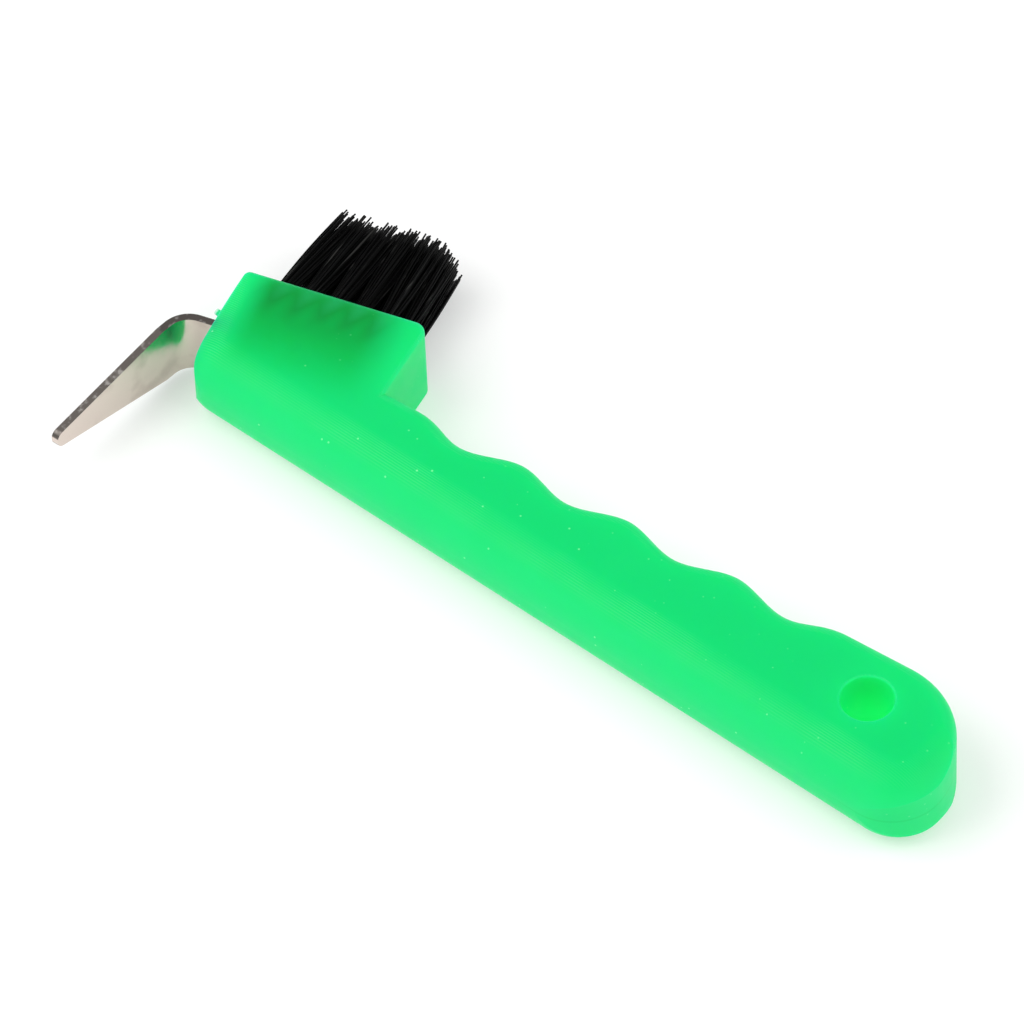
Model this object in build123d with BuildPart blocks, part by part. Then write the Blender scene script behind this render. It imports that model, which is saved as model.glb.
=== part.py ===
"""Hoof pick with brush: moulded handle, bent steel pick, twenty staple-set bristle tufts.

Millimetres. The tool lies on its side: +X runs along the grip to the tail, +Y points out
of the brush face, +Z is up through the thickness. The origin is the bottom centre of the
whole tool.
"""
import math
import os

from build123d import *

# Whole tool
THICKNESS = 17.0
MIDPLANE = THICKNESS / 2
CLEAR = 60.0  # how far the ends of cutting outlines lie past the tool

# Grip: a straight back, a crest line with four finger grooves, a round tail
BACK_SLOPE = -0.0435
BACK_Y = -13.75
BACK_RADIUS = 7.8
CREST_SLOPE = 0.043
CREST_Y = 5.05
GROOVE_CENTRES = (-12.0, 10.0, 32.3, 54.9)
GROOVE_HALF_PITCH = 11.1
GROOVE_DEPTH = 2.65
GRIP_START = -46.0
TAIL_X = 95.7
TAIL_TILT = 0.8
TAIL_CREST_RADIUS = 16.2
TAIL_BACK_RADIUS = 10.0
ROUNDING_LEAN = 4.0
NOSE_STEP = 2.0
NOSE_LEAN = 20.0
NOSE_BACK_RADIUS = 8.5
GRIP_EDGE_RADIUS = 2.5

# Head block with the slanted brush face
FACE_START = (-65.9, 10.8)
FACE_ANGLE = 14.5
FACE_LENGTH = 34.8
FRONT_LEAN = 9.6
SHOULDER_LEAN = 9.0
NOSE_RADIUS = 4.2
FACE_FRONT_RADIUS = 1.2
FACE_REAR_RADIUS = 2.4
HEAD_EDGE_RADIUS = 0.7

# Hang hole through the tail
HANG_CENTRE = (76.9, -2.0)
HANG_RADIUS = 4.7
HANG_EDGE_RADIUS = 0.4

# Gate stub left by moulding on the front of the head
GATE_CENTRE = (-65.0, 1.7, 14.4)
GATE_RADIUS = 0.6
GATE_HEIGHT = 0.7
GATE_ROOT = 1.0

# Steel pick: flat bar, tang in the head, one bend, tapered blade
BAR_THICKNESS = 1.4
BAR_WIDTH = 13.3
TANG_POINT = (-65.5, -1.3)
TANG_ANGLE = 14.5
TANG_LENGTH = 28.0
TANG_HOLE_RADIUS = 2.2
TANG_HOLES = (10.0, 20.0)
BLADE_ANGLE = 263.0
BLADE_POINT = (-72.45, -21.9)
BEND_RADIUS = 4.9
BLADE_TIP_Y = -33.8
TIP_HALF_WIDTH = 1.55
TIP_RADIUS = 1.5
TAPER_START_Y = -7.8

# Brush: four staggered rows of five tufts
ROW_HEIGHTS = (13.3, 10.1, 6.9, 3.7)
ROW_OFFSETS = (0.0, 2.35, 0.0, 2.35)
COLUMNS = 5
FIRST_COLUMN = -59.7
COLUMN_PITCH = 4.7
TUFT_RADIUS = 1.4
TUFT_TIP_RADIUS = 1.6
TUFT_DEPTH = 7.0
TUFT_REACH_FRONT = 21.0
TUFT_REACH_REAR = 19.8
TUFT_COLLAR = 0.5
TUFT_LEAN_MAX = 13.0

# Wire anchor pinched across the foot of every tuft
ANCHOR_WIDTH = 3.4
ANCHOR_HEIGHT = 1.3
ANCHOR_THICKNESS = 0.4
ANCHOR_RISE = 0.5


def back_y(x):
    return BACK_Y + BACK_SLOPE * x


def crest_y(x):
    return CREST_Y + CREST_SLOPE * x


def face_y(x):
    return FACE_START[1] + (x - FACE_START[0]) * math.tan(math.radians(FACE_ANGLE))


def heading(degrees):
    angle = math.radians(degrees)
    return Vector(math.cos(angle), math.sin(angle))


def meet(start, way, slope, level):
    """Where the ray from start along way crosses the line y = level + slope * x."""
    travel = (level + slope * start.X - start.Y) / (way.Y - slope * way.X)
    return start + way * travel


def corners_at(sketch, point):
    return [v for v in sketch.vertices() if (Vector(v.X, v.Y) - point).length < 0.01]


# Plan points of the head
face_front = Vector(*FACE_START)
face_rear = face_front + heading(FACE_ANGLE) * FACE_LENGTH
nose = meet(face_front, heading(FRONT_LEAN - 90), BACK_SLOPE, BACK_Y)
shoulder_foot = meet(face_rear, heading(SHOULDER_LEAN - 90), BACK_SLOPE, BACK_Y)

# Plan points of the grip: crests and groove bottoms in turn
wave = [Vector(GROOVE_CENTRES[0] - GROOVE_HALF_PITCH, 0)]
for centre in GROOVE_CENTRES:
    wave.append(Vector(centre, -GROOVE_DEPTH))
    wave.append(Vector(centre + GROOVE_HALF_PITCH, 0))
wave = [Vector(p.X, crest_y(p.X) + p.Y) for p in wave]
tail_crest = Vector(TAIL_X - TAIL_TILT, crest_y(TAIL_X - TAIL_TILT))
tail_back = Vector(TAIL_X + TAIL_TILT, back_y(TAIL_X + TAIL_TILT))

with BuildPart() as grip:
    with BuildSketch() as grip_plan:
        with BuildLine():
            Spline(*wave, tangents=[Vector(1, CREST_SLOPE)] * len(wave))
            Polyline(
                wave[-1],
                tail_crest,
                tail_back,
                Vector(GRIP_START, back_y(GRIP_START)),
                Vector(GRIP_START, crest_y(GRIP_START)),
                wave[0],
            )
        make_face()
        fillet(corners_at(grip_plan, tail_crest), TAIL_CREST_RADIUS)
        fillet(corners_at(grip_plan, tail_back), TAIL_BACK_RADIUS)
    extrude(amount=THICKNESS)
    rims = grip.edges().filter_by(Plane.XY)
    fillet(rims.filter_by(lambda e: e.center().X > GRIP_START + 1), GRIP_EDGE_RADIUS)

with BuildPart() as head:
    with BuildSketch() as head_plan:
        with BuildLine():
            Polyline(face_front, face_rear, shoulder_foot, nose, close=True)
        make_face()
        fillet(corners_at(head_plan, face_front), FACE_FRONT_RADIUS)
        fillet(corners_at(head_plan, face_rear), FACE_REAR_RADIUS)
        fillet(corners_at(head_plan, nose), NOSE_RADIUS)
    extrude(amount=THICKNESS)
    rims = head.edges().filter_by(Plane.XY)
    fillet(rims, HEAD_EDGE_RADIUS)

# Big rounding of the back, which turns round the tail and the nose and fades out beyond them
tail_top = tail_back + CLEAR * heading(90 - ROUNDING_LEAN)
nose_back = Vector(nose.X - NOSE_STEP, back_y(nose.X - NOSE_STEP))
nose_top = meet(nose_back, heading(90 + NOSE_LEAN), 0, tail_top.Y)
with BuildPart() as rounding:
    with BuildSketch() as rounding_plan:
        with BuildLine():
            Polyline(tail_back, tail_top, nose_top, nose_back, close=True)
        make_face()
        fillet(corners_at(rounding_plan, tail_back), TAIL_BACK_RADIUS)
        fillet(corners_at(rounding_plan, nose_back), NOSE_BACK_RADIUS)
    extrude(amount=THICKNESS)
    rims = rounding.edges().filter_by(Plane.XY)
    fillet(rims.filter_by(lambda e: e.center().Y < tail_top.Y - 1), BACK_RADIUS)

# Gate stub plane, square to the front of the head
gate_plane = Plane(origin=GATE_CENTRE, z_dir=-heading(-FRONT_LEAN))

# Steel pick, drawn edge-on as the centre line of the bar
tang_way = heading(TANG_ANGLE)
blade_way = heading(BLADE_ANGLE)
tang_mouth = Vector(*TANG_POINT)
blade_mid = Vector(*BLADE_POINT)
across = blade_mid - tang_mouth
tang_run = (across.X * blade_way.Y - across.Y * blade_way.X) / (
    tang_way.X * blade_way.Y - tang_way.Y * blade_way.X
)
bend_corner = tang_mouth + tang_way * tang_run
tang_end = tang_mouth + tang_way * TANG_LENGTH
blade_tip = bend_corner + blade_way * ((BLADE_TIP_Y - bend_corner.Y) / blade_way.Y)
tang_plane = Plane(origin=tang_mouth, x_dir=tang_way, z_dir=heading(TANG_ANGLE + 90))

with BuildPart() as hook:
    with BuildSketch():
        with BuildLine() as bar_line:
            FilletPolyline(tang_end, bend_corner, blade_tip, radius=BEND_RADIUS)
            offset(amount=BAR_THICKNESS / 2, side=Side.BOTH)
        make_face()
    extrude(amount=THICKNESS)
    # Side view of the bar: constant width, then the taper to a rounded tip
    with BuildSketch(Plane.YZ.offset(-2 * CLEAR)) as bar_side:
        with BuildLine():
            Polyline(
                (CLEAR, MIDPLANE - BAR_WIDTH / 2),
                (TAPER_START_Y, MIDPLANE - BAR_WIDTH / 2),
                (BLADE_TIP_Y, MIDPLANE - TIP_HALF_WIDTH),
                (BLADE_TIP_Y, MIDPLANE + TIP_HALF_WIDTH),
                (TAPER_START_Y, MIDPLANE + BAR_WIDTH / 2),
                (CLEAR, MIDPLANE + BAR_WIDTH / 2),
                close=True,
            )
        make_face()
        fillet([v for v in bar_side.vertices() if abs(v.X - BLADE_TIP_Y) < 0.01], TIP_RADIUS)
    extrude(amount=2 * CLEAR, mode=Mode.INTERSECT)
    with BuildSketch(tang_plane):
        with Locations(*[(run, MIDPLANE) for run in TANG_HOLES]):
            Circle(TANG_HOLE_RADIUS)
    extrude(amount=2 * BAR_THICKNESS, both=True, mode=Mode.SUBTRACT)

with BuildPart() as handle:
    add(grip.part)
    add(head.part)
    add(rounding.part, mode=Mode.INTERSECT)
    # Hang hole with a softened rim
    with BuildSketch(Plane.XY):
        with Locations(HANG_CENTRE):
            Circle(HANG_RADIUS)
    extrude(amount=THICKNESS, mode=Mode.SUBTRACT)
    hang_rims = handle.edges().filter_by(GeomType.CIRCLE).filter_by(
        lambda e: abs(e.radius - HANG_RADIUS) < 0.01
    )
    fillet(hang_rims, HANG_EDGE_RADIUS)
    with BuildSketch(gate_plane.offset(-GATE_ROOT)):
        Circle(GATE_RADIUS)
    extrude(amount=GATE_ROOT + GATE_HEIGHT)
    add(hook.part, mode=Mode.SUBTRACT)

# Tufts: a straight foot in the drilled hole, then a bundle leaning towards the front
tufts = {}
anchors = {}
for row, (height, offset_x) in enumerate(zip(ROW_HEIGHTS, ROW_OFFSETS), start=1):
    for column in range(COLUMNS):
        x = FIRST_COLUMN + offset_x + column * COLUMN_PITCH
        foot = Vector(x, face_y(x) - TUFT_DEPTH, height)
        collar = TUFT_DEPTH + TUFT_COLLAR
        rear_share = (x - FIRST_COLUMN) / (COLUMN_PITCH * COLUMNS)
        lean = TUFT_LEAN_MAX * rear_share
        lean_way = Vector(-math.sin(math.radians(lean)), math.cos(math.radians(lean)), 0)
        mouth = foot + Vector(0, collar, 0)
        reach = TUFT_REACH_FRONT + (TUFT_REACH_REAR - TUFT_REACH_FRONT) * rear_share
        tip = mouth + lean_way * (reach - TUFT_COLLAR)
        with BuildPart() as anchor:
            with Locations(foot + Vector(0, ANCHOR_RISE + ANCHOR_HEIGHT / 2, 0)):
                Box(ANCHOR_WIDTH, ANCHOR_HEIGHT, ANCHOR_THICKNESS)
        with BuildPart() as tuft:
            with BuildSketch(Plane(origin=foot, x_dir=(1, 0, 0), z_dir=(0, 1, 0))):
                Circle(TUFT_RADIUS)
            extrude(amount=collar)
            with BuildSketch(Plane(origin=mouth, x_dir=(1, 0, 0), z_dir=(0, 1, 0))):
                Circle(TUFT_RADIUS)
            with BuildSketch(Plane(origin=tip, x_dir=(lean_way.Y, -lean_way.X, 0), z_dir=lean_way)):
                Circle(TUFT_TIP_RADIUS)
            loft()
            add(anchor.part, mode=Mode.SUBTRACT)
        name = f"{row}_{column + 1}"
        tufts[name] = tuft.part
        anchors[name] = anchor.part

with BuildPart() as drilled:
    add(handle.part)
    for name in tufts:
        add(tufts[name], mode=Mode.SUBTRACT)
        add(anchors[name], mode=Mode.SUBTRACT)

drilled.part.label = "handle"
hook.part.label = "hook"
nodes = [drilled.part, hook.part]
for name in tufts:
    tufts[name].label = f"tuft_{name}"
    anchors[name].label = f"anchor_{name}"
    nodes += [tufts[name], anchors[name]]

# Bring the bottom centre of the whole tool to the origin
boxes = [node.bounding_box() for node in nodes]
middle_x = (min(b.min.X for b in boxes) + max(b.max.X for b in boxes)) / 2
middle_y = (min(b.min.Y for b in boxes) + max(b.max.Y for b in boxes)) / 2

os.makedirs("parts", exist_ok=True)
for node in nodes:
    placed = node.moved(Location((-middle_x, -middle_y, 0)))
    placed.label = node.label
    export_step(placed, f"parts/{node.label}.step")
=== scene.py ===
"""Hoof pick: finishes, bristles, floor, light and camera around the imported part.

Everything is in metres, in the part's own frame: +X towards the tail, +Y on the brush's side, +Z up.
"""

import math
import random

import bmesh
import bpy
from mathutils import Matrix, Vector


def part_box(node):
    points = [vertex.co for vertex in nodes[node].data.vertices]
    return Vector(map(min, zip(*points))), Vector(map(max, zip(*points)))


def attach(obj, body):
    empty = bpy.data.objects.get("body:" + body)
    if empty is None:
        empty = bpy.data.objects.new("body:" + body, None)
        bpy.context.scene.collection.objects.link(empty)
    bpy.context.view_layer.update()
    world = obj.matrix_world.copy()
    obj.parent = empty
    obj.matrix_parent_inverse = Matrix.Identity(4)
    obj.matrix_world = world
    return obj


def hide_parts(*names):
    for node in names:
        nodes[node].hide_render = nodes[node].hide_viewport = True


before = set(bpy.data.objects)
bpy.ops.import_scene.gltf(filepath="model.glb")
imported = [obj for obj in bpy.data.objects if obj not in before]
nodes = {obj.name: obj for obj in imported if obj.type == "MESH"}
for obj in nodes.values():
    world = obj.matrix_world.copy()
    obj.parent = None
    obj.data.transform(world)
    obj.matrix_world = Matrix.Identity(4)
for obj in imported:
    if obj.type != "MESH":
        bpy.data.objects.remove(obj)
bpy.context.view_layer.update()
scene = bpy.context.scene

MM = 0.001
MIDDLE = 8.5 * MM
ROWS = range(1, 5)
COLUMNS = range(1, 6)

# ---------------------------------------------------------------- shader helpers


class Graph:
    """A material's node tree, with short ways to add and join nodes."""

    def __init__(self, name):
        self.material = bpy.data.materials.new(name)
        self.material.use_nodes = True
        self.tree = self.material.node_tree
        self.tree.nodes.clear()
        self.output = self.add("ShaderNodeOutputMaterial")
        self.shader = self.add("ShaderNodeBsdfPrincipled")
        self.tree.links.new(self.shader.outputs[0], self.output.inputs["Surface"])

    def add(self, kind, **settings):
        made = self.tree.nodes.new(kind)
        for key, value in settings.items():
            setattr(made, key, value)
        return made

    def put(self, socket, value):
        """Joins an output to the socket, or sets the socket to a plain value."""
        if isinstance(value, bpy.types.NodeSocket):
            self.tree.links.new(value, socket)
        else:
            socket.default_value = value

    def math(self, operation, *values, clamp=False):
        made = self.add("ShaderNodeMath", operation=operation, use_clamp=clamp)
        for socket, value in zip(made.inputs, values):
            self.put(socket, value)
        return made.outputs[0]

    def ramp(self, value, low, high, out_low=0.0, out_high=1.0):
        """A smooth step of value from out_low at low to out_high at high."""
        made = self.add("ShaderNodeMapRange", interpolation_type="SMOOTHSTEP")
        for socket, number in zip(made.inputs, (value, low, high, out_low, out_high)):
            self.put(socket, number)
        return made.outputs[0]

    def noise(self, vector, scale, detail=2.0, roughness=0.5):
        made = self.add("ShaderNodeTexNoise")
        self.put(made.inputs["Vector"], vector)
        self.put(made.inputs["Scale"], scale)
        self.put(made.inputs["Detail"], detail)
        self.put(made.inputs["Roughness"], roughness)
        return made.outputs["Fac"]

    def mix(self, factor, first, second):
        made = self.add("ShaderNodeMix", data_type="RGBA")
        self.put(made.inputs[0], factor)
        self.put(made.inputs[6], first)
        self.put(made.inputs[7], second)
        return made.outputs[2]

    def split(self, vector):
        made = self.add("ShaderNodeSeparateXYZ")
        self.put(made.inputs[0], vector)
        return made.outputs

    def stretched(self, vector, scale):
        made = self.add("ShaderNodeMapping")
        self.put(made.inputs["Vector"], vector)
        made.inputs["Scale"].default_value = scale
        return made.outputs[0]

    def along(self, point, way, start=Vector()):
        """How far a point is from start, measured along way."""
        made = self.add("ShaderNodeVectorMath", operation="DOT_PRODUCT")
        self.put(made.inputs[0], point)
        made.inputs[1].default_value = way
        return self.math("SUBTRACT", made.outputs["Value"], start.dot(way))

    def reach(self, point, centre):
        """How far a point is from centre."""
        made = self.add("ShaderNodeVectorMath", operation="DISTANCE")
        self.put(made.inputs[0], point)
        made.inputs[1].default_value = centre
        return made.outputs["Value"]

    def bump(self, height, distance, strength=1.0, normal=None):
        made = self.add("ShaderNodeBump")
        self.put(made.inputs["Height"], height)
        self.put(made.inputs["Distance"], distance)
        self.put(made.inputs["Strength"], strength)
        if normal is not None:
            self.put(made.inputs["Normal"], normal)
        return made.outputs[0]

    def set(self, **values):
        """Sets or joins the shader's sockets, by name with _ for a space."""
        for key, value in values.items():
            self.put(self.shader.inputs[key.replace("_", " ")], value)


# ---------------------------------------------------------------- green plastic

BODY_GREEN = (0.003, 0.68, 0.181, 1.0)
PAINTED_RIM_LIGHT_GREEN = (0.014, 0.73, 0.215, 1.0)
PALE_GREEN = (0.33, 0.92, 0.50, 1.0)
LINE_GREEN = (0.000, 0.52, 0.088, 1.0)
PAINTED_GLOW_GREEN = (0.000, 0.60, 0.155, 1.0)
# Colour of the head's plastic by depth below the brush face, with painted shade where the tufts and tang
# show through
HEAD_PAINTED_SHADES = (
    (0.0 * MM, (0.008, 0.37, 0.092, 1.0)),
    (3.5 * MM, (0.001, 0.32, 0.051, 1.0)),
    (8.0 * MM, (0.000, 0.41, 0.067, 1.0)),
    (12.0 * MM, (0.000, 0.52, 0.088, 1.0)),
    (17.0 * MM, (0.001, 0.61, 0.132, 1.0)),
    (24.0 * MM, BODY_GREEN),
)
SHADE_REACH = HEAD_PAINTED_SHADES[-1][0]

# The brush face in plan, and the patch of painted shade that each tuft of the near rows makes below it
FACE_ANGLE = math.radians(14.5)
FACE_WAY = Vector((math.cos(FACE_ANGLE), math.sin(FACE_ANGLE), 0))
FACE_OUT = Vector((-math.sin(FACE_ANGLE), math.cos(FACE_ANGLE), 0))
FACE_START = Vector((-76.53, 8.84, 0)) * MM
PATCH_START = -68.6 * MM
PATCH_PITCH = 4.65 * MM
LOW_ROWS_SHIFT = 2.35 * MM
PATCH_SWING = 1.6 * MM

# Marks of moulding and use
MILL_WAY = Vector((0.0435, 1.0, 0)).normalized()
MILL_PITCH = 0.42 * MM
SPECKS_PER_METRE = 480.0
SCUFF = Vector((49.5, -15.5, 11.0)) * MM
GATE_STUB = Vector((-76.5, -0.1, 14.4)) * MM
HANG_HOLE = Vector((66.27, -3.96, 0.0)) * MM
HANG_RADIUS = 4.7 * MM


def painted_tuft_shade(g, point, plain):
    """The plain colour, with painted shade for the dark feet of the tufts and the tang seen through the
    head.
    """
    x, _, z = g.split(point)
    depth = g.along(point, -FACE_OUT, FACE_START)
    along = g.along(point, FACE_WAY, FACE_START)

    # The depth is pushed to and fro along the face, so that each tuft makes its own patch of painted
    # shade
    lower = g.math("LESS_THAN", z, MIDDLE)
    start = g.math("MULTIPLY_ADD", lower, LOW_ROWS_SHIFT, PATCH_START)
    turn = g.math("MULTIPLY", g.math("SUBTRACT", x, start), 2 * math.pi / PATCH_PITCH)
    under_face = g.math("MULTIPLY", g.ramp(depth, 8.5 * MM, 5.5 * MM), g.ramp(depth, -0.5 * MM, 2.0 * MM))
    wave = g.math("MULTIPLY", g.math("COSINE", turn), under_face)
    wobble = g.math("MULTIPLY_ADD", g.noise(point, 260.0), PATCH_SWING, -PATCH_SWING / 2)
    push = g.math("MULTIPLY_ADD", wave, -PATCH_SWING, wobble)

    shade = g.add("ShaderNodeValToRGB")
    stops = shade.color_ramp.elements
    while len(stops) < len(HEAD_PAINTED_SHADES):
        stops.new(0.5)
    for stop, (reach, colour) in zip(stops, HEAD_PAINTED_SHADES):
        stop.position = reach / SHADE_REACH
        stop.color = colour
    g.put(shade.inputs[0], g.math("DIVIDE", g.math("ADD", depth, push), SHADE_REACH, clamp=True))

    front = g.ramp(along, 1.2 * MM, 6.8 * MM)
    rear = g.ramp(along, 32.5 * MM, 24.0 * MM)
    inside = g.math("MULTIPLY", g.math("MULTIPLY", front, rear), g.ramp(depth, SHADE_REACH, 16.0 * MM))
    return g.mix(inside, plain, shade.outputs[0])


def pale_marks(g, point):
    """How pale the skin is: specks of dust, one small scuff on the back, and the gate stub."""
    x, y, _ = g.split(point)
    cells = g.add("ShaderNodeTexVoronoi", feature="F1")
    g.put(cells.inputs["Vector"], point)
    g.put(cells.inputs["Scale"], SPECKS_PER_METRE)
    chosen = g.ramp(g.split(cells.outputs["Color"])[0], 0.56, 0.58)
    dots = g.math("MULTIPLY", g.ramp(cells.outputs["Distance"], 0.12, 0.05), chosen)
    on_back = g.ramp(y, 1.0 * MM, -6.0 * MM, 0.12, 0.60)
    off_tail = g.ramp(x, 66.0 * MM, 54.0 * MM, 0.35, 1.0)
    specks = g.math("MULTIPLY", dots, g.math("MULTIPLY", on_back, off_tail))

    streaks = g.ramp(g.noise(g.stretched(point, (1.0, 2.5, 1.0)), 1500.0), 0.50, 0.60)
    scuff = g.math("MULTIPLY", g.ramp(g.reach(point, SCUFF), 1.9 * MM, 0.8 * MM), streaks)
    stub = g.ramp(g.reach(point, GATE_STUB), 1.0 * MM, 0.75 * MM)
    return g.math("MAXIMUM", g.math("MAXIMUM", specks, g.math("MULTIPLY", scuff, 0.45)), stub)


def cutter_lines(g, point, up):
    """The mould cutter's parallel lines, in patches where the flat sides start to roll over."""
    passes = g.math("SINE", g.math("MULTIPLY", g.along(point, MILL_WAY), 2 * math.pi / MILL_PITCH))
    rolled = g.math("MULTIPLY", g.ramp(up, 0.9998, 0.990), g.ramp(up, 0.70, 0.92))
    patch = g.ramp(g.noise(point, 70.0), 0.40, 0.60, 0.30, 1.0)
    return g.math("MULTIPLY", g.math("MULTIPLY", passes, rolled), patch)


def tail_middle_line(g, point, up):
    """How dark the faint line is that runs round the tail's end half way up."""
    x, _, z = g.split(point)
    away = g.math("ABSOLUTE", g.math("SUBTRACT", z, MIDDLE))
    on_tail = g.ramp(x, 66.0 * MM, 78.0 * MM)
    line = g.math("MULTIPLY", g.ramp(away, 0.30 * MM, 0.10 * MM), on_tail)
    return g.math("MULTIPLY", line, g.ramp(up, 0.30, 0.15, 0.0, 0.22))


def painted_hole_glow(g, point):
    """Painted glow: emission on the wall of the hang hole standing in for light let through the plastic,
    more at the bottom.
    """
    z = g.split(point)[2]
    from_axis = g.reach(g.stretched(point, (1.0, 1.0, 0.0)), HANG_HOLE)
    hollow = g.ramp(from_axis, HANG_RADIUS + 0.3 * MM, HANG_RADIUS + 0.1 * MM)
    return g.math("MULTIPLY", hollow, g.ramp(z, 17.0 * MM, 6.0 * MM, 0.10, 0.46))


def green_plastic():
    """Translucent green plastic: painted light where it is thin, and painted shade where the tufts show
    dark in the head.
    """
    g = Graph("green_plastic")
    place = g.add("ShaderNodeTexCoord")
    point = place.outputs["Object"]
    up = g.math("ABSOLUTE", g.split(place.outputs["Normal"])[2])

    # Painted light: lighter on the rounded back, rims and ends, where the thin plastic glows; with slow
    # clouding of its own tone in the flat sides
    cloud = g.noise(point, 55.0, detail=3.0)
    rim_light_and_clouding = g.math("ADD", g.ramp(up, 0.998, 0.55), g.ramp(cloud, 0.35, 0.75, -0.08, 0.12), clamp=True)
    colour = painted_tuft_shade(g, point, g.mix(rim_light_and_clouding, BODY_GREEN, PAINTED_RIM_LIGHT_GREEN))
    colour = g.mix(pale_marks(g, point), colour, PALE_GREEN)

    # Moulded skin: slow ripple, fine grain and the cutter's lines
    lines = cutter_lines(g, point, up)
    # The cutter's lines are also painted paler in colour: a painted highlight along them
    colour = g.mix(g.math("MULTIPLY", lines, 0.10, clamp=True), colour, PALE_GREEN)
    colour = g.mix(tail_middle_line(g, point, up), colour, LINE_GREEN)
    ripple = g.noise(point, 150.0, detail=2.0)
    skin = g.bump(ripple, 0.10 * MM, 0.25)
    skin = g.bump(g.noise(point, 1400.0, detail=3.0), 0.010 * MM, 0.5, skin)
    skin = g.bump(lines, 0.012 * MM, 1.0, skin)

    g.set(
        Base_Color=colour,
        Roughness=g.ramp(ripple, 0.3, 0.7, 0.40, 0.50),
        IOR=1.49,
        Specular_IOR_Level=0.12,
        Subsurface_Weight=0.85,
        Subsurface_Scale=9.0 * MM,
        Subsurface_Radius=(0.35, 1.0, 0.55),
        Emission_Color=PAINTED_GLOW_GREEN,
        Emission_Strength=painted_hole_glow(g, point),
        Normal=skin,
    )
    return g.material


# ---------------------------------------------------------------- steel

BRIGHT = (0.70, 0.60, 0.54, 1.0)
SMEARED = (0.60, 0.50, 0.45, 1.0)
SHEARED = (0.13, 0.115, 0.105, 1.0)
NICKED = (0.34, 0.32, 0.30, 1.0)


def plated_steel():
    """Bright plated sheet, with darker edges where it was sheared."""
    g = Graph("plated_steel")
    place = g.add("ShaderNodeTexCoord")
    point = place.outputs["Object"]
    up = g.math("ABSOLUTE", g.split(place.outputs["Normal"])[2])
    cut = g.ramp(up, 0.12, 0.35)
    nicks = g.ramp(g.noise(g.stretched(point, (1.0, 1.0, 0.2)), 900.0, detail=3.0), 0.50, 0.70)
    edge = g.mix(nicks, SHEARED, NICKED)
    brushed = g.noise(g.stretched(point, (1.0, 1.0, 0.12)), 2600.0, detail=4.0)
    smear = g.noise(point, 160.0, detail=3.0)
    face = g.mix(g.ramp(smear, 0.45, 0.70), BRIGHT, SMEARED)
    shine = g.math("ADD", g.ramp(brushed, 0.3, 0.7, 0.10, 0.17), g.ramp(smear, 0.4, 0.7, 0.0, 0.07))
    rough = g.math("MULTIPLY_ADD", cut, 0.25, shine)
    g.set(Base_Color=g.mix(cut, face, edge), Metallic=1.0, Roughness=rough)
    fine = g.bump(brushed, 0.002 * MM, 0.4)
    g.set(Normal=g.bump(smear, 0.02 * MM, 0.35, fine))
    return g.material


# ---------------------------------------------------------------- bristles

NYLON_BLACK = (0.0010, 0.0010, 0.0010, 1.0)
NYLON_GLINT_GREY = (0.030, 0.030, 0.028, 1.0)


def black_bristle():
    """Black nylon, almost without shine, with a few paler filaments painted in as glints."""
    g = Graph("black_bristle")
    point = g.add("ShaderNodeTexCoord").outputs["Object"]
    # Painted glints: a few filaments are painted paler, and made smoother too
    glint_streaks = g.noise(g.stretched(point, (1.0, 0.04, 1.0)), 1300.0, detail=2.0)
    g.set(
        Base_Color=g.mix(g.ramp(glint_streaks, 0.62, 0.72), NYLON_BLACK, NYLON_GLINT_GREY),
        Roughness=g.ramp(glint_streaks, 0.3, 0.7, 0.45, 0.30),
        Specular_IOR_Level=0.09,
    )
    return g.material


def anchor_wire():
    """Flat drawn wire, sealed in the head."""
    g = Graph("anchor_wire")
    point = g.add("ShaderNodeTexCoord").outputs["Object"]
    drawn = g.noise(g.stretched(point, (0.04, 1.0, 1.0)), 4000.0)
    g.set(
        Base_Color=(0.55, 0.55, 0.54, 1.0),
        Metallic=1.0,
        Roughness=g.ramp(drawn, 0.3, 0.7, 0.25, 0.45),
    )
    return g.material


FILAMENTS = 46
FILAMENT_RADIUS = 0.17 * MM
FILAMENT_SIDES = 6
FILAMENT_STEPS = 7
TURN_STEP = 2.39996
HOLE_RADIUS = 1.4 * MM
HOLE_DEPTH = 7.0 * MM
COLLAR = 0.2 * MM
# How far the cut ends lie from the brush face, and how they spread and lean
FRONT_REACH = 21.2 * MM
REAR_REACH = 20.5 * MM
LONGEST_Y = 37.4 * MM
REAR_LEAN = math.radians(14.0)
TIP_SPREAD = 1.15 * MM
FLARE = 0.30 * MM
# The low rows are a little longer, and all tips draw in towards the middle of the thickness
LOW_ROW_EXTRA = 0.20
THICKNESS_DRAW = 0.86
# Stray ends, ragged lengths, and bunches of filaments that stick together
STRAY = 0.14 * MM
RAGGED = 0.6 * MM
BUNCHES = 5
BUNCH_SHIFT = 0.6


def tuft_ends(node, rear_share):
    """The centre of a tuft's foot, from the part, and of its cut end, in the row frame."""
    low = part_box(node)[0]
    ring = [v.co for v in nodes[node].data.vertices if v.co.y < low.y + 0.05 * MM]
    foot = sum(ring, Vector()) / len(ring)
    reach = FRONT_REACH + (REAR_REACH - FRONT_REACH) * rear_share
    reach += LOW_ROW_EXTRA * (MIDDLE - foot.z)
    lean = REAR_LEAN * rear_share
    tip = Vector(
        (
            foot.x - reach * math.tan(lean),
            foot.y + HOLE_DEPTH + reach,
            MIDDLE + (foot.z - MIDDLE) * THICKNESS_DRAW,
        )
    )
    return foot, tip


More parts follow.
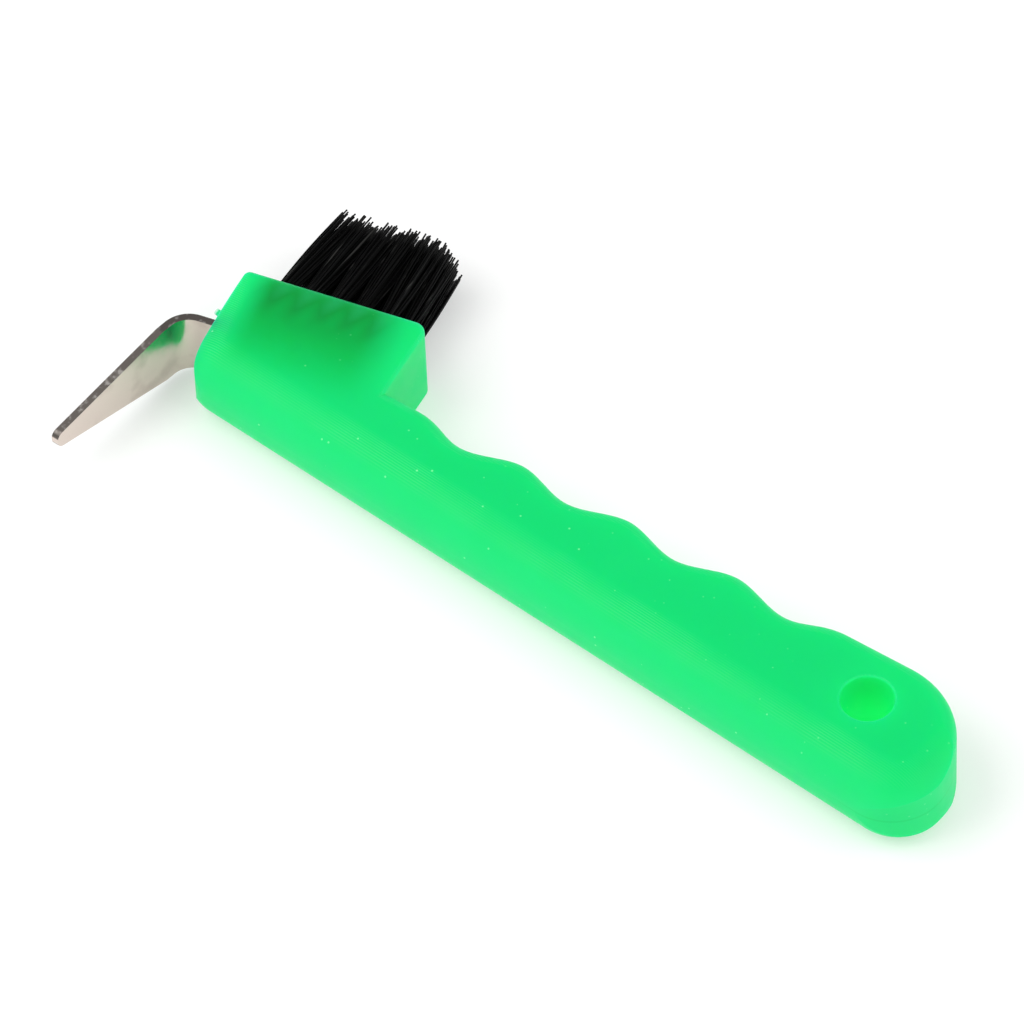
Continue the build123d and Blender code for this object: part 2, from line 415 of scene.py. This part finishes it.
def add_filament(mesh, points, radius):
    """A round filament through the points, cut square at its tip."""
    rings = []
    for i, point in enumerate(points):
        along = points[min(i + 1, len(points) - 1)] - points[max(i - 1, 0)]
        turn = along.to_track_quat("Z", "Y")
        ring = []
        for side in range(FILAMENT_SIDES):
            angle = 2 * math.pi * side / FILAMENT_SIDES
            offset = Vector((math.cos(angle), math.sin(angle), 0)) * radius
            ring.append(mesh.verts.new(point + turn @ offset))
        rings.append(ring)
    for lower, upper in zip(rings, rings[1:]):
        for side in range(FILAMENT_SIDES):
            after = (side + 1) % FILAMENT_SIDES
            face = mesh.faces.new((lower[side], lower[after], upper[after], upper[side]))
            face.smooth = True
    mesh.faces.new(rings[-1])
    mesh.faces.new(list(reversed(rings[0])))


def bristle_tuft(row, column, material):
    """The filaments of one tuft: bunched in the hole, fanning out to ragged tips."""
    node = f"tuft_{row}_{column}"
    dice = random.Random(100 * row + column)
    rear_share = (column - 1 + 0.5 * (row % 2 == 0)) / len(COLUMNS)
    foot, tip = tuft_ends(node, rear_share)
    exit_y = foot.y + HOLE_DEPTH + COLLAR
    bunches = []
    for _ in range(BUNCHES):
        bunches.append(Vector((dice.gauss(0, 0.35), dice.uniform(-1, 0.8), dice.gauss(0, 0.35))) * MM)
    mesh = bmesh.new()
    for i in range(FILAMENTS):
        out = math.sqrt((i + 0.5) / FILAMENTS)
        angle = i * TURN_STEP + dice.uniform(-0.2, 0.2)
        spread = Vector((math.cos(angle), 0, math.sin(angle))) * out
        start = foot + spread * (HOLE_RADIUS - FILAMENT_RADIUS)
        root = Vector((start.x, exit_y, start.z))
        stray = Vector((dice.gauss(0, 1), 0, dice.gauss(0, 1))) * STRAY
        end = tip + spread * (HOLE_RADIUS + TIP_SPREAD) + stray + bunches[i % BUNCHES] * BUNCH_SHIFT
        end.y = min(end.y + dice.uniform(-RAGGED, RAGGED), LONGEST_Y)
        flare = spread * FLARE
        points = [start]
        for step in range(FILAMENT_STEPS):
            share = step / (FILAMENT_STEPS - 1)
            points.append(root.lerp(end, share) + flare * math.sin(math.pi * share))
        add_filament(mesh, points, FILAMENT_RADIUS)
    data = bpy.data.meshes.new(f"bristles_{row}_{column}")
    mesh.to_mesh(data)
    mesh.free()
    data.materials.append(material)
    tuft = bpy.data.objects.new(f"bristles_{row}_{column}", data)
    scene.collection.objects.link(tuft)
    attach(tuft, "root")
    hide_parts(node)


# ---------------------------------------------------------------- dressing the part


def dress(node, material):
    """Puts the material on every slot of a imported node."""
    for place in nodes[node].material_slots:
        place.material = material


plastic = green_plastic()
steel = plated_steel()
bristle = black_bristle()
wire = anchor_wire()
dress("handle", plastic)
dress("hook", steel)
for row in ROWS:
    for column in COLUMNS:
        dress(f"anchor_{row}_{column}", wire)
        dress(f"tuft_{row}_{column}", bristle)
        bristle_tuft(row, column, bristle)

# ---------------------------------------------------------------- floor, light and camera

WHITE = (1.0, 1.0, 1.0, 1.0)
FLOOR_GREY = (0.66, 0.66, 0.66, 1.0)
FLOOR_SIZE = 3.0
WORLD_STRENGTH = 0.60
CAMERA_AZIMUTH = math.radians(39.0)
CAMERA_ELEVATION = math.radians(52.0)
CAMERA_ROLL = math.radians(-2.6)
CAMERA_DISTANCE = 1.8
CAMERA_TARGET = Vector((-10.63, -1.96, 8.5)) * MM
LENS_MM = 367.0


def make_floor():
    """A plain pale floor that gives off a little light itself, so that shadows stay faint."""
    g = Graph("floor")
    g.set(Base_Color=FLOOR_GREY, Roughness=0.8, Emission_Color=WHITE, Emission_Strength=0.36)
    data = bpy.data.meshes.new("floor")
    half = FLOOR_SIZE / 2
    corners = [(-half, -half, 0), (half, -half, 0), (half, half, 0), (-half, half, 0)]
    data.from_pydata(corners, [], [(0, 1, 2, 3)])
    data.materials.append(g.material)
    floor = bpy.data.objects.new("floor", data)
    scene.collection.objects.link(floor)


def make_light(name, place, size, power):
    """A soft square lamp at place, aimed at the middle of the part."""
    lamp = bpy.data.lights.new(name, "AREA")
    lamp.size = size
    lamp.energy = power
    made = bpy.data.objects.new(name, lamp)
    made.location = place
    made.rotation_euler = (-Vector(place)).to_track_quat("-Z", "Y").to_euler()
    scene.collection.objects.link(made)


def make_camera():
    """The camera, turned round the part and tipped down, far off with a long lens."""
    flat = Vector((-math.sin(CAMERA_AZIMUTH), math.cos(CAMERA_AZIMUTH), 0))
    ahead = flat * math.cos(CAMERA_ELEVATION) - Vector((0, 0, math.sin(CAMERA_ELEVATION)))
    right = Vector((math.cos(CAMERA_AZIMUTH), math.sin(CAMERA_AZIMUTH), 0))
    above = right.cross(ahead)
    turn = Matrix.Rotation(CAMERA_ROLL, 3, -ahead)
    axes = Matrix((turn @ right, turn @ above, -ahead)).transposed()
    camera = bpy.data.cameras.new("camera")
    camera.lens = LENS_MM
    camera.sensor_width = 36.0
    camera.clip_end = 20.0
    made = bpy.data.objects.new("camera", camera)
    made.matrix_world = Matrix.Translation(CAMERA_TARGET - ahead * CAMERA_DISTANCE) @ axes.to_4x4()
    scene.collection.objects.link(made)
    scene.camera = made


make_floor()
make_light("key", (-0.5, -0.5, 0.9), 0.9, 7.0)
make_light("fill", (0.8, 0.2, 0.8), 0.9, 4.0)
make_camera()
world = bpy.data.worlds.new("studio")
world.use_nodes = True
background = world.node_tree.nodes["Background"]
background.inputs["Color"].default_value = WHITE
background.inputs["Strength"].default_value = WORLD_STRENGTH
scene.world = world
scene.view_settings.view_transform = "Standard"
